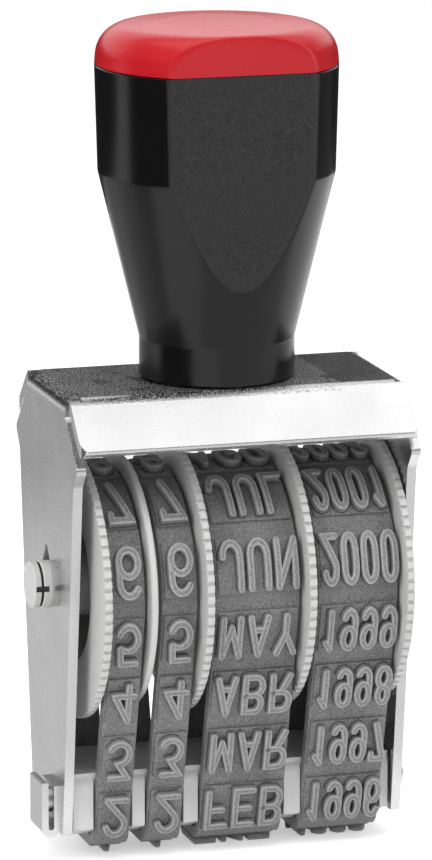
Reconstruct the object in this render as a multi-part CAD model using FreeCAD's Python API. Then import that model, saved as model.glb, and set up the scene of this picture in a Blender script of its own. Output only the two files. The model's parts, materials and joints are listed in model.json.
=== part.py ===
import FreeCAD, Part
import math
import os

from FreeCAD import Vector

# Hand-held date stamp. Four rubber type bands run over knurled thumbwheels inside a folded steel frame,
# and a screw holds the plastic handle on top. X runs across the bands, Y from front to back and Z up.
# The raised type that prints stands on z = 0. All sizes are in millimetres.

# Folded sheet frame
sheet = 1.0
web_top = 49.8
web_half_depth = 7.5
side_bend_radius = 1.6
flap_bend_radius = 2.0
flap_angle = 45.0
flap_length = 6.66
flap_end_gap = 0.3
flap_corner_radius = 1.2
flap_relief = 0.8
plate_foot = 3.1
plate_foot_half_depth = 5.9
plate_waist_height = 29.0
plate_waist_half_depth = 9.3
plate_shoulder_height = 41.0
plate_shoulder_half_depth = 10.7
plate_ear_gap = 1.0
plate_ear_half_depth = 12.3
lip_round = 0.3

# Axle and thumbwheels
axle_height = 28.7
axle_radius = 2.0
axle_running_fit = 0.05
wheel_radius = 14.2
wheel_edge_round = 0.2
disc_thickness = 0.8
knurl_teeth = 80
knurl_depth = 0.35
knurl_groove = 0.42
hub_radius = 3.6
wheel_web = 1.2
drum_wall = 2.0
drum_to_band = 0.3
spacer_radius = 13.2
spacer_thickness = 0.7
axial_gap = 0.15
washer_radius = 4.6
washer_play = 0.1
left_space = 1.45

# Ends of the axle outside the frame
pin_radius = 1.7
end_radius = 2.45
end_collar = 0.9
end_groove = 0.25
end_groove_depth = 0.45
end_head = 0.75
end_notch = 0.6
end_round = 0.2
press_gap = 0.02
keyhole_radius = 2.5
keyhole_peak = 4.6
keyhole_peak_round = 0.5

# Rubber bands
band_inner_radius = 10.45
band_base = 1.1
band_plate = 0.35
band_type = 0.8
band_lean = 15.0
band_corner_radius = 1.0
stations = 14
plate_gap = 1.67
type_gap = 2.1
plate_side_margin = 0.25
day_band_width = 3.8
month_band_width = 9.0
year_band_width = 8.4
digit_width = 2.4
year_digit_width = 1.85
year_digit_pitch = 2.25
month_letter_width = 2.35
month_letter_pitch = 3.0
band_to_disc = 0.35
tens_overrun = 0.1
units_overrun = 0.65
month_overrun = 0.65
year_overrun = 0.85

# Bridge that presses the bands down, its rod and clips
bridge_top = 9.5
bridge_to_band = 0.3
bridge_to_plate = 0.25
fin_foot = 3.3
fin_half_depth = 5.5
fin_round = 1.4
fin_to_band = 0.2
rod_radius = 0.9
rod_height = 6.3
rod_forward = 2.7
rod_fit = 0.05
rod_head_radius = 1.3
rod_head = 0.3
clip_sheet = 0.7
clip_gap = 0.6
clip_depth = 4.8
clip_foot = 2.9
clip_inner_height = 5.4
clip_outer_height = 5.8

# Handle, cap and screw
neck_radius = 8.1
neck_height = 4.25
cone_height = 17.35
shoulder_radius = 12.3
seam_radius = 12.6
seam_height = 32.7
handle_neck_round = 3.0
handle_shoulder_round = 4.0
facet_seam_depth = 9.9
facet_lean = 1.67
handle_wall = 2.2
handle_floor = 5.0
boss_radius = 4.6
handle_rib = 1.4
cap_height = 5.1
cap_edge_round = 3.6
cap_dome = 0.35
cap_wall = 1.8
cap_skirt = 2.4
cap_fit = 0.1
cap_spigot_radius = 2.2
cap_spigot_length = 6.0
insert_radius = 2.8
insert_length = 9.0
insert_fit = 0.02
screw_radius = 1.5
screw_fit = 0.05
screw_length = 11.0
screw_head_radius = 3.0
screw_head = 2.0
screw_slot_width = 0.8
screw_slot_depth = 0.9
washer_sheet = 0.6
washer_outer_radius = 3.8
screw_hole_gap = 0.2

# Places of the wheel stack along X, counted from the inner face of the left side plate
stack = 0.0
tens_face = stack + left_space
tens_band_start = tens_face + disc_thickness + band_to_disc
tens_drum_end = tens_band_start + day_band_width + tens_overrun
spacer_start = tens_drum_end + axial_gap
units_drum_end = spacer_start + spacer_thickness + axial_gap
units_band_start = units_drum_end + units_overrun
units_face = units_band_start + day_band_width + band_to_disc + disc_thickness
month_drum_end = units_face + axial_gap
month_band_start = month_drum_end + month_overrun
month_face = month_band_start + month_band_width + band_to_disc + disc_thickness
year_drum_end = month_face + axial_gap
year_band_start = year_drum_end + year_overrun
year_face = year_band_start + year_band_width + band_to_disc + disc_thickness
inner_width = year_face + axial_gap

# Sizes that follow
inner_half_width = inner_width / 2
frame_half_width = inner_half_width + sheet
left_inner = -inner_half_width
slope = math.radians(flap_angle)
fold_depth = web_half_depth + flap_bend_radius * math.tan(slope / 2)
lip_depth = fold_depth + flap_length * math.cos(slope)
lip_height = web_top - flap_length * math.sin(slope)
flap_half_width = frame_half_width - flap_end_gap
drum_radius = band_inner_radius - drum_to_band
lean = math.radians(band_lean)
print_gap = band_base + band_plate + band_type
seam_z = web_top + seam_height
top_z = seam_z + cap_height


def outline(corners):
    # Closed wire through corner points, each with its own radius
    ends = []
    count = len(corners)
    for index, (corner, radius) in enumerate(corners):
        if radius == 0:
            ends.append((corner, None, corner))
            continue
        into = (corners[index - 1][0] - corner).normalize()
        away = (corners[(index + 1) % count][0] - corner).normalize()
        half = into.getAngle(away) / 2
        reach = radius / math.tan(half)
        middle = corner + (into + away).normalize() * (radius / math.sin(half) - radius)
        ends.append((corner + into * reach, middle, corner + away * reach))
    edges = []
    for index, (start, middle, end) in enumerate(ends):
        if middle is not None:
            edges.append(Part.Arc(start, middle, end).toShape())
        following = ends[(index + 1) % count][0]
        if (following - end).Length > 1e-6:
            edges.append(Part.LineSegment(end, following).toShape())
    return Part.Wire(edges)


def side_prism(x_start, x_end, corners):
    # Profile of (y, z, radius) corners, extruded across the frame
    wire = outline([(Vector(x_start, y, z), radius) for y, z, radius in corners])
    return Part.Face(wire).extrude(Vector(x_end - x_start, 0, 0))


def mirrored(half):
    # Front half of a profile and its mirror image at the back
    return [(-y, z, r) for y, z, r in half] + [(y, z, r) for y, z, r in reversed(half)]


def front_prism(y_start, y_end, corners):
    # Profile of (x, z, radius) corners, extruded from front to back
    wire = outline([(Vector(x, y_start, z), radius) for x, z, radius in corners])
    return Part.Face(wire).extrude(Vector(0, y_end - y_start, 0))


def across(x_start, x_end, radius, y, z):
    # Round bar along X
    return Part.makeCylinder(radius, x_end - x_start, Vector(x_start, y, z), Vector(1, 0, 0))


def turned_on_axle(corners):
    # Body of revolution about the axle, from (x, radius from the axle, round) corners
    wire = outline([(Vector(x, 0, axle_height + r), round_) for x, r, round_ in corners])
    return Part.Face(wire).revolve(Vector(0, 0, axle_height), Vector(1, 0, 0), 360)


def turned_upright(corners):
    # Body of revolution about the handle's axis, from (radius, z, round) corners
    wire = outline([(Vector(r, 0, z), round_) for r, z, round_ in corners])
    return Part.Face(wire).revolve(Vector(0, 0, 0), Vector(0, 0, 1), 360)


def keyhole(x_start, x_end):
    # Teardrop hole that takes the axle's end and points up
    half = math.asin(keyhole_radius / keyhole_peak)
    touch_y = keyhole_radius * math.cos(half)
    touch_z = axle_height + keyhole_radius * math.sin(half)
    peak = side_prism(x_start, x_end, [
        (-touch_y, touch_z, 0),
        (0, axle_height + keyhole_peak, keyhole_peak_round),
        (touch_y, touch_z, 0),
        (0, axle_height, 0),
    ])
    return across(x_start, x_end, keyhole_radius, 0, axle_height).fuse(peak)


def make_frame():
    inner_bend = side_bend_radius - sheet
    foot = plate_foot
    channel = front_prism(-lip_depth, lip_depth, [
        (-frame_half_width, foot, 0),
        (-frame_half_width, web_top, side_bend_radius),
        (frame_half_width, web_top, side_bend_radius),
        (frame_half_width, foot, 0),
        (inner_half_width, foot, 0),
        (inner_half_width, web_top - sheet, inner_bend),
        (-inner_half_width, web_top - sheet, inner_bend),
        (-inner_half_width, foot, 0),
    ])
    ear_line = fold_depth + web_top - (sheet + plate_ear_gap) / math.cos(slope)
    ear_height = ear_line - plate_ear_half_depth
    plate = side_prism(-frame_half_width, frame_half_width, mirrored([
        (plate_foot_half_depth, foot, lip_round),
        (plate_waist_half_depth, plate_waist_height, 25),
        (plate_shoulder_half_depth, plate_shoulder_height, 1.5),
        (plate_ear_half_depth, ear_height, 0.6),
        (web_half_depth, ear_line - web_half_depth, 0),
        (web_half_depth, web_top, 0),
    ]))
    thin = sheet * math.tan(slope / 2)
    hat = side_prism(-flap_half_width, flap_half_width, mirrored([
        (fold_depth - thin, web_top - sheet, flap_bend_radius - sheet),
        (lip_depth - sheet * math.sin(slope), lip_height - sheet * math.cos(slope), lip_round),
        (lip_depth, lip_height, lip_round),
        (fold_depth, web_top, flap_bend_radius),
    ]))
    plan = outline([
        (Vector(-flap_half_width, -lip_depth, 0), flap_corner_radius),
        (Vector(flap_half_width, -lip_depth, 0), flap_corner_radius),
        (Vector(flap_half_width, lip_depth, 0), flap_corner_radius),
        (Vector(-flap_half_width, lip_depth, 0), flap_corner_radius),
    ])
    hat = hat.common(Part.Face(plan).extrude(Vector(0, 0, web_top)))
    relief_start = frame_half_width - side_bend_radius
    relief_half_depth = web_half_depth + flap_relief
    for x_start in (relief_start, -frame_half_width):
        hat = hat.cut(Part.makeBox(
            side_bend_radius, 2 * relief_half_depth, web_top,
            Vector(x_start, -relief_half_depth, 0)))
    frame = channel.common(plate).fuse(hat)
    reach = frame_half_width + sheet
    cuts = [
        Part.makeCylinder(screw_radius + screw_hole_gap, web_top, Vector(0, 0, plate_waist_height)),
        keyhole(-reach, reach),
        across(-reach, reach, rod_radius + rod_fit, -rod_forward, rod_height),
    ]
    return frame.cut(cuts).removeSplitter()


def facet_cutters(inset, reach_low, reach_high):
    # Front and back flats of the handle, leaning out towards the top
    tilt = math.tan(math.radians(facet_lean))
    low_y = facet_seam_depth - inset - (seam_z - reach_low) * tilt
    high_y = facet_seam_depth - inset + (reach_high - seam_z) * tilt
    far = 2 * seam_radius
    cutters = []
    for side in (-1, 1):
        wedge = [(side * low_y, reach_low, 0), (side * far, reach_low, 0),
                 (side * far, reach_high, 0), (side * high_y, reach_high, 0)]
        cutters.append(side_prism(-far, far, wedge))
    return cutters


def make_handle():
    neck_z = web_top + neck_height
    cone_z = neck_z + cone_height
    body = turned_upright([
        (0, web_top, 0),
        (neck_radius, web_top, lip_round),
        (neck_radius, neck_z, handle_neck_round),
        (shoulder_radius, cone_z, handle_shoulder_round),
        (seam_radius, seam_z, 0),
        (0, seam_z, 0),
    ])
    body = body.cut(facet_cutters(0, web_top, seam_z))
    floor_z = web_top + handle_floor
    cavity = turned_upright([
        (0, floor_z, 0),
        (neck_radius - handle_wall, floor_z, 0),
        (neck_radius - handle_wall, neck_z, 0),
        (shoulder_radius - handle_wall, cone_z, 0),
        (seam_radius - handle_wall, seam_z, 0),
        (0, seam_z, 0),
    ])
    cavity = cavity.cut(facet_cutters(handle_wall, web_top, seam_z))
    boss_top = seam_z - cap_skirt
    boss = Part.makeCylinder(boss_radius, boss_top - web_top, Vector(0, 0, web_top))
    ribs = [
        Part.makeBox(2 * seam_radius, handle_rib, cone_z - web_top,
                     Vector(-seam_radius, -handle_rib / 2, web_top)),
        Part.makeBox(handle_rib, 2 * seam_radius, cone_z - web_top,
                     Vector(-handle_rib / 2, -seam_radius, web_top)),
    ]
    body = body.cut(cavity.cut([boss] + ribs))
    bores = [
        Part.makeCylinder(insert_radius + insert_fit, insert_length, Vector(0, 0, web_top)),
        Part.makeCylinder(cap_spigot_radius + cap_fit, boss_top - web_top, Vector(0, 0, web_top)),
    ]
    return body.cut(bores).removeSplitter()


def make_cap():
    body = turned_upright([
        (0, seam_z, 0),
        (seam_radius, seam_z, 0),
        (seam_radius, top_z - cap_dome, cap_edge_round),
        (0, top_z, 0),
    ])
    body = body.cut(facet_cutters(0, seam_z, top_z + cap_dome))
    hollow_radius = seam_radius - handle_wall - cap_fit - cap_wall
    skirt_radius = seam_radius - handle_wall - cap_fit
    skirt = Part.makeCylinder(skirt_radius, cap_skirt, Vector(0, 0, seam_z - cap_skirt))
    skirt = skirt.cut(facet_cutters(handle_wall + cap_fit, seam_z - cap_skirt, seam_z))
    hollow_top = top_z - cap_dome - cap_wall
    hollow = Part.makeCylinder(hollow_radius, hollow_top - seam_z + cap_skirt,
                               Vector(0, 0, seam_z - cap_skirt))
    hollow = hollow.cut(facet_cutters(handle_wall + cap_wall, seam_z - cap_skirt, hollow_top))
    spigot_foot = seam_z - cap_skirt - cap_spigot_length
    spigot = Part.makeCylinder(cap_spigot_radius, hollow_top - spigot_foot, Vector(0, 0, spigot_foot))
    return body.fuse(skirt).cut(hollow).fuse(spigot).removeSplitter()


def make_insert():
    sleeve = Part.makeCylinder(insert_radius, insert_length, Vector(0, 0, web_top))
    bore = Part.makeCylinder(screw_radius + screw_fit, insert_length, Vector(0, 0, web_top))
    return sleeve.cut(bore)


def make_screw():
    seat = web_top - sheet - washer_sheet
    shank = Part.makeCylinder(screw_radius, screw_length, Vector(0, 0, seat))
    head = turned_upright([
        (0, seat - screw_head, 0),
        (screw_head_radius, seat - screw_head, screw_head / 2),
        (screw_head_radius, seat, 0),
        (0, seat, 0),
    ])
    slot = Part.makeBox(2 * screw_head_radius, screw_slot_width, screw_slot_depth,
                        Vector(-screw_head_radius, -screw_slot_width / 2, seat - screw_head))
    return shank.fuse(head).cut(slot).removeSplitter()


def make_screw_washer():
    foot = Vector(0, 0, web_top - sheet - washer_sheet)
    ring = Part.makeCylinder(washer_outer_radius, washer_sheet, foot)
    return ring.cut(Part.makeCylinder(screw_radius + screw_hole_gap, washer_sheet, foot))


def make_axle():
    reach = frame_half_width + end_collar + end_groove
    shaft = across(left_inner + washer_play, -left_inner - washer_play, axle_radius, 0, axle_height)
    return shaft.fuse(across(-reach, reach, pin_radius, 0, axle_height)).removeSplitter()


def make_axle_end(side):
    # Grooved end piece pressed on the axle, seated in the keyhole
    start = inner_half_width + 2 * washer_play
    collar = frame_half_width + end_collar
    head = collar + end_groove
    tip = head + end_head
    body = turned_on_axle([
        (side * start, pin_radius + press_gap, 0),
        (side * start, end_radius, 0),
        (side * collar, end_radius, end_round),
        (side * collar, end_radius - end_groove_depth, 0),
        (side * head, end_radius - end_groove_depth, 0),
        (side * head, end_radius, 0),
        (side * tip, end_radius, end_round),
        (side * tip, 0, 0),
        (side * (head + press_gap), 0, 0),
        (side * (head + press_gap), pin_radius + press_gap, 0),
    ])
    middle = collar + end_groove / 2
    notch = Part.makeBox(
        2 * end_notch + end_groove, end_notch, end_notch,
        Vector(side * middle - end_notch - end_groove / 2, -end_radius - end_notch / 2,
               axle_height - end_notch / 2))
    return body.cut(notch).removeSplitter()


def make_wheel(face, drum_end):
    # Thumbwheel with a hollow drum, from its open face to the closed end of the drum
    turn = 1 if drum_end > face else -1
    x_face = left_inner + face
    x_end = left_inner + drum_end
    x_disc = x_face + turn * disc_thickness
    bore = axle_radius + axle_running_fit
    body = turned_on_axle([
        (x_face, drum_radius - drum_wall, 0),
        (x_face, wheel_radius, wheel_edge_round),
        (x_disc, wheel_radius, wheel_edge_round),
        (x_disc, drum_radius, 0),
        (x_end, drum_radius, 0),
        (x_end, bore, 0),
        (x_face, bore, 0),
        (x_face, hub_radius, 0),
        (x_end - turn * wheel_web, hub_radius, 0),
        (x_end - turn * wheel_web, drum_radius - drum_wall, 0),
    ])
    groove = Part.makeBox(
        2 * disc_thickness, knurl_groove, 2 * knurl_depth,
        Vector(min(x_face, x_disc) - disc_thickness / 2, -knurl_groove / 2,
               axle_height + wheel_radius - knurl_depth))
    axle = Vector(0, 0, axle_height)
    grooves = []
    for tooth in range(knurl_teeth):
        cutter = groove.copy()
        cutter.rotate(axle, Vector(1, 0, 0), 360 * tooth / knurl_teeth)
        grooves.append(cutter)
    return body.cut(grooves)


def make_spacer():
    x_start = left_inner + spacer_start
    bore = axle_radius + axle_running_fit
    round_ = spacer_thickness / 3
    return turned_on_axle([
        (x_start, bore, 0),
        (x_start, spacer_radius, round_),
        (x_start + spacer_thickness, spacer_radius, round_),
        (x_start + spacer_thickness, bore, 0),
    ])


def make_thrust_washer():
    x_start = left_inner + washer_play
    x_end = left_inner + left_space - washer_play
    bore = axle_radius + axle_running_fit
    return across(x_start, x_end, washer_radius, 0, axle_height).cut(
        across(x_start, x_end, bore, 0, axle_height))


def loop_point(side, offset):
    # Lower corner of a band layer, and where its straight run meets the arc
    radius = band_inner_radius + offset
    corner_z = print_gap - offset
    corner_y = (radius + (corner_z - axle_height) * math.sin(lean)) / math.cos(lean)
    touch = Vector(0, side * radius * math.cos(lean), axle_height - radius * math.sin(lean))
    return Vector(0, side * corner_y, corner_z), touch


def loop_solid(x_start, x_end, offset):
    # Solid inside one layer of a band: over the drum, down both runs and flat across the bridge
    front, front_touch = loop_point(-1, offset)
    back, back_touch = loop_point(1, offset)
    crown = Vector(0, 0, axle_height + band_inner_radius + offset)
    corner = band_corner_radius + offset
    bottom = outline([(front_touch, 0), (front, corner), (back, corner), (back_touch, 0)])
    runs = [edge for edge in bottom.Edges if edge.BoundBox.ZMin < front_touch.z - 1]
    face = Part.Face(Part.Wire(runs + [Part.Arc(back_touch, crown, front_touch).toShape()]))
    face.translate(Vector(x_start, 0, 0))
    return face.extrude(Vector(x_end - x_start, 0, 0))


def loop_place(length):
    # Point and outward direction on the band's inner face, at a length from the middle of the bottom
    front, front_touch = loop_point(-1, 0)
    turn = math.pi / 2 - lean
    reach = band_corner_radius * math.tan(turn / 2)
    flat = -front.y - reach
    bend = band_corner_radius * turn
    run = (front_touch - front).Length - reach
    side = 1 if length < 0 else -1
    rest = abs(length)
    if rest <= flat:
        return Vector(0, side * rest, print_gap), Vector(0, 0, -1)
    rest -= flat
    if rest <= bend:
        angle = rest / band_corner_radius
        centre = Vector(0, side * flat, print_gap + band_corner_radius)
        out = Vector(0, side * math.sin(angle), -math.cos(angle))
        return centre + out * band_corner_radius, out
    rest -= bend
    out = Vector(0, side * math.cos(lean), -math.sin(lean))
    if rest <= run:
        _, touch = loop_point(side, 0)
        along = Vector(0, side * math.sin(lean), math.cos(lean))
        return touch - along * (run - rest), out
    angle = (rest - run) / band_inner_radius - lean
    out = Vector(0, side * math.cos(angle), math.sin(angle))
    return Vector(0, 0, axle_height) + out * band_inner_radius, out


def loop_length():
    front, front_touch = loop_point(-1, 0)
    turn = math.pi / 2 - lean
    reach = band_corner_radius * math.tan(turn / 2)
    half = -front.y - reach + band_corner_radius * turn + (front_touch - front).Length - reach
    return 2 * (half + band_inner_radius * (math.pi / 2 + lean))


def station_block(x_start, x_end, low, high, length, pitch_share):
    # Block across the band at one place on its loop, between two layers
    place, out = loop_place(length)
    block = Part.makeBox(x_end - x_start, pitch_share, high - low,
                         Vector(x_start, -pitch_share / 2, low))
    angle = math.degrees(math.atan2(-out.y, out.z))
    block.rotate(Vector(0, 0, 0), Vector(1, 0, 0), angle)
    block.translate(place)
    return block


def make_band(start, width, letters, letter_width, letter_pitch, printed):
    # Belt with a type plate at every station and raised type at the printed ones
    x_start = left_inner + start
    x_end = x_start + width
    middle = (x_start + x_end) / 2
    pitch = loop_length() / stations
    plate_top = band_base + band_plate
    belt = loop_solid(x_start, x_end, band_base).cut(loop_solid(x_start, x_end, 0))
    plate_start = x_start + plate_side_margin
    plate_end = x_end - plate_side_margin
    plates = loop_solid(plate_start, plate_end, plate_top)
    plates = plates.cut(loop_solid(plate_start, plate_end, band_base / 2))
    gaps = []
    for station in range(stations):
        gaps.append(station_block(plate_start, plate_end, 0, 2 * plate_top,
                                  wrap((station + 0.5) * pitch), plate_gap))
    pads = []
    type_height = pitch - type_gap
    sink = band_plate / 2
    for station in range(printed):
        for letter in range(letters):
            centre = middle + (letter - (letters - 1) / 2) * letter_pitch
            pads.append(station_block(centre - letter_width / 2, centre + letter_width / 2,
                                      plate_top - sink, print_gap,
                                      wrap(station * pitch), type_height))
    return belt.fuse([plates.cut(gaps)] + pads).removeSplitter()


def wrap(length):
    # Length round the loop, counted from the bottom to the front or, past half way, to the back
    whole = loop_length()
    return length if length <= whole / 2 else length - whole


def make_bridge():
    # Comb inside the band loops, with fins between the bands
    low_left = left_inner + bridge_to_plate
    low_right = -low_left
    bed = loop_solid(low_left, low_right, -bridge_to_band)
    front, _ = loop_point(-1, -bridge_to_band)
    bed = bed.common(Part.makeBox(2 * frame_half_width, 2 * lip_depth, bridge_top - print_gap,
                                  Vector(-frame_half_width, -lip_depth, print_gap)))
    sole_half = -front.y - band_corner_radius
    bed = bed.fuse(side_prism(low_left, low_right, mirrored([
        (sole_half, print_gap, 0),
        (sole_half, print_gap + 2 * bridge_to_band, 0),
    ])))
    bands = [(tens_band_start, day_band_width), (units_band_start, day_band_width),
             (month_band_start, month_band_width), (year_band_start, year_band_width)]
    edges = [low_left]
    for start, width in bands:
        edges.append(left_inner + start - fin_to_band)
        edges.append(left_inner + start + width + fin_to_band)
    edges.append(low_right)
    fins = []
    for index in range(0, len(edges), 2):
        fins.append(side_prism(edges[index], edges[index + 1], mirrored([
            (fin_half_depth, fin_foot, 0.4),
            (fin_half_depth, bridge_top, fin_round),
        ])))
    bore = across(low_left, low_right, rod_radius + rod_fit, -rod_forward, rod_height)
    return bed.fuse(fins).cut(bore).removeSplitter()


def make_rod():
    reach = frame_half_width + clip_sheet
    rod = across(-reach, reach, rod_radius, -rod_forward, rod_height)
    heads = [across(reach, reach + rod_head, rod_head_radius, -rod_forward, rod_height),
             across(-reach - rod_head, -reach, rod_head_radius, -rod_forward, rod_height)]
    return rod.fuse(heads).removeSplitter()


def make_clip(side):
    # U-shaped spring clip outside the foot of a side plate
    inner = frame_half_width
    outer = inner + 2 * clip_sheet + clip_gap
    bend = clip_sheet + clip_gap / 2
    y_start = -rod_forward - clip_depth / 2
    clip = front_prism(y_start, y_start + clip_depth, [
        (side * inner, clip_foot + clip_inner_height, 0),
        (side * inner, clip_foot, bend - 0.01),
        (side * outer, clip_foot, bend - 0.01),
        (side * outer, clip_foot + clip_outer_height, 0.2),
        (side * (outer - clip_sheet), clip_foot + clip_outer_height, 0.2),
        (side * (outer - clip_sheet), clip_foot + clip_sheet, clip_gap / 2 - 0.01),
        (side * (inner + clip_sheet), clip_foot + clip_sheet, clip_gap / 2 - 0.01),
        (side * (inner + clip_sheet), clip_foot + clip_inner_height, 0),
    ])
    hole_start = min(side * inner, side * (inner + clip_sheet))
    return clip.cut(across(hole_start, hole_start + clip_sheet, rod_radius + rod_fit,
                           -rod_forward, rod_height))


os.makedirs("parts", exist_ok=True)
nodes = {
    "frame": make_frame(),
    "handle": make_handle(),
    "handle_cap": make_cap(),
    "handle_insert": make_insert(),
    "handle_screw": make_screw(),
    "screw_washer": make_screw_washer(),
    "axle": make_axle(),
    "axle_end_left": make_axle_end(-1),
    "axle_end_right": make_axle_end(1),
    "thrust_washer": make_thrust_washer(),
    "tens_wheel": make_wheel(tens_face, tens_drum_end),
    "spacer_disc": make_spacer(),
    "units_wheel": make_wheel(units_face, units_drum_end),
    "month_wheel": make_wheel(month_face, month_drum_end),
    "year_wheel": make_wheel(year_face, year_drum_end),
    "tens_band": make_band(tens_band_start, day_band_width, 1, digit_width, 0, 10),
    "units_band": make_band(units_band_start, day_band_width, 1, digit_width, 0, 10),
    "month_band": make_band(month_band_start, month_band_width, 3, month_letter_width,
                            month_letter_pitch, 12),
    "year_band": make_band(year_band_start, year_band_width, 4, year_digit_width,
                           year_digit_pitch, stations),
    "bridge": make_bridge(),
    "bridge_rod": make_rod(),
    "bridge_clip_left": make_clip(-1),
    "bridge_clip_right": make_clip(1),
}
for name, shape in nodes.items():
    shape.exportStep("parts/" + name + ".step")
    box = shape.BoundBox
    print(name, len(shape.Solids), "solid", round(shape.Volume, 1), "mm3, z",
          round(box.ZMin, 2), "to", round(box.ZMax, 2), shape.isValid())
print("inner half width", round(inner_half_width, 3), "loop", round(loop_length(), 2))
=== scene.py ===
import json
import math

import bpy
from mathutils import Matrix, Vector


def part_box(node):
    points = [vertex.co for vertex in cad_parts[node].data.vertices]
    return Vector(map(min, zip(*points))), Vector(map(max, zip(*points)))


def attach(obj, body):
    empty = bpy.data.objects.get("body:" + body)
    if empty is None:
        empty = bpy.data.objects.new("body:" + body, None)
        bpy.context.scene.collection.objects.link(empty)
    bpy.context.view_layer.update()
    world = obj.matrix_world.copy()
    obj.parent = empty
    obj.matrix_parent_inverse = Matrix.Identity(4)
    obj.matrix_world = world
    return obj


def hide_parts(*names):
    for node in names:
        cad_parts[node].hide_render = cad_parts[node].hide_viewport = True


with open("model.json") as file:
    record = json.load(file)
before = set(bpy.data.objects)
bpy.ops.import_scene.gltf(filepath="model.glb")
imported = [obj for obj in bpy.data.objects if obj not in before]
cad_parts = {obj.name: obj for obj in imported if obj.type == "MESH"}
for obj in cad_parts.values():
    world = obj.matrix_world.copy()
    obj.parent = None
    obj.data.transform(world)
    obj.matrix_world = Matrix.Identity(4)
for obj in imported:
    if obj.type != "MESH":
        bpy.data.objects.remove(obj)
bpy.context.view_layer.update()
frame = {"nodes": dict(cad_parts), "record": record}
print("frame loaded")

mm = 0.001
near = 0.01                 # mm, how closely faces and edges are found by their place
shortEdge = 0.05            # mm, an edge that runs along a band is longer than this
axleHeight = 28.7           # mm, shared by the wheels, the bands and the axle's end pieces


# small helpers for working as by hand

def clearSelection():
    if bpy.context.object is not None and bpy.context.object.mode != "OBJECT":
        bpy.ops.object.mode_set(mode="OBJECT")
    bpy.ops.object.select_all(action="DESELECT")


def pickUp(obj):
    clearSelection()
    obj.select_set(True)
    bpy.context.view_layer.objects.active = obj


def startPiece(name):
    obj = bpy.context.object
    obj.name = name
    obj.data.name = name
    bpy.ops.object.transform_apply(location=True, rotation=True, scale=True)
    return obj


def faceOutwards():
    bpy.ops.mesh.select_all(action="SELECT")
    bpy.ops.mesh.normals_make_consistent(inside=False)
    bpy.ops.object.mode_set(mode="OBJECT")


def finishPiece(obj, angle, body, slot, material, *nodes):
    pickUp(obj)
    bpy.ops.object.shade_smooth_by_angle(angle=math.radians(angle))
    obj.data.materials.clear()
    obj.data.materials.append(material)
    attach(obj, body)
    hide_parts(*nodes)


# shader maths as plain expressions

class Wire:
    def __init__(self, paint, socket):
        self.paint = paint
        self.socket = socket

    def maths(self, operation, *others):
        return self.paint.add("ShaderNodeMath", {"operation": operation}, [self, *others])

    def __add__(self, other):
        return self.maths("ADD", other)

    def __sub__(self, other):
        return self.maths("SUBTRACT", other)

    def __rsub__(self, other):
        return self.paint.add("ShaderNodeMath", {"operation": "SUBTRACT"}, [other, self])

    def __mul__(self, other):
        return self.maths("MULTIPLY", other)

    __radd__ = __add__
    __rmul__ = __mul__

    def size(self):
        return self.maths("ABSOLUTE")

    def root(self):
        return self.maths("SQRT")

    def over(self, edge):
        return self.maths("GREATER_THAN", edge)

    def under(self, edge):
        return self.maths("LESS_THAN", edge)

    def top(self, other):
        return self.maths("MAXIMUM", other)

    def ramp(self, low, high, start=0.0, end=1.0):
        ends = {"From Min": low, "From Max": high, "To Min": start, "To Max": end}
        return self.paint.add("ShaderNodeMapRange", {"clamp": True}, {"Value": self, **ends})

    def contrast(self):
        return self.ramp(0.3, 0.7)      # a noise keeps mostly between these


class Paint:
    def __init__(self, owner):
        owner.use_nodes = True
        self.owner = owner
        self.nodes = owner.node_tree.nodes
        self.links = owner.node_tree.links

    def add(self, kind, settings, inputs, output=0):
        node = self.nodes.new(kind)
        for key, value in settings.items():
            setattr(node, key, value)
        pairs = inputs.items() if isinstance(inputs, dict) else enumerate(inputs)
        for key, value in pairs:
            self.feed(node.inputs[key], value)
        return Wire(self, node.outputs[output])

    def feed(self, socket, value):
        if isinstance(value, Wire):
            self.links.new(value.socket, socket)
        else:
            socket.default_value = value

    def place(self):
        return self.add("ShaderNodeTexCoord", {}, {}, "Object")

    def axes(self):
        place = self.place()
        return [self.add("ShaderNodeSeparateXYZ", {}, [place], axis) for axis in range(3)]

    def ray(self, kind):
        return self.add("ShaderNodeLightPath", {}, {}, kind)

    def noise(self, scale, detail, stretch=None):
        where = self.place()
        if stretch:
            where = self.add("ShaderNodeMapping", {}, {"Vector": where, "Scale": stretch})
        return self.add("ShaderNodeTexNoise", {}, {"Vector": where, "Scale": scale, "Detail": detail}, "Fac")

    def blend(self, share, first, second):
        return self.add("ShaderNodeMix", {"data_type": "RGBA"}, {0: share, 6: first, 7: second}, 2)

    def bump(self, height, strength, distance):
        given = {"Height": height, "Strength": strength, "Distance": distance}
        return self.add("ShaderNodeBump", {}, given, "Normal")

    def finish(self, shader, **values):
        for key, value in values.items():
            self.feed(self.nodes[shader].inputs[key.replace("_", " ")], value)
        return self.owner


def newPaint(name):
    return Paint(bpy.data.materials.new(name))


def grey(level, warmth=0.0):
    return (level + warmth, level, level - warmth, 1)


def greys(levels):
    return [grey(level) for level in levels]


# camera at the photograph's angle

camera = {
    "yaw": 16.5,
    "pitch": 11.86,
    "distance": 0.62416,
    "aim": (0, 0, 0.045),
    "sensor": 36,
    "pictureHeight": 860,           # pixels, as are the focal length and the offset
    "focal": 6000.4,
    "offset": (-0.584, -10.653),
}


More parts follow.
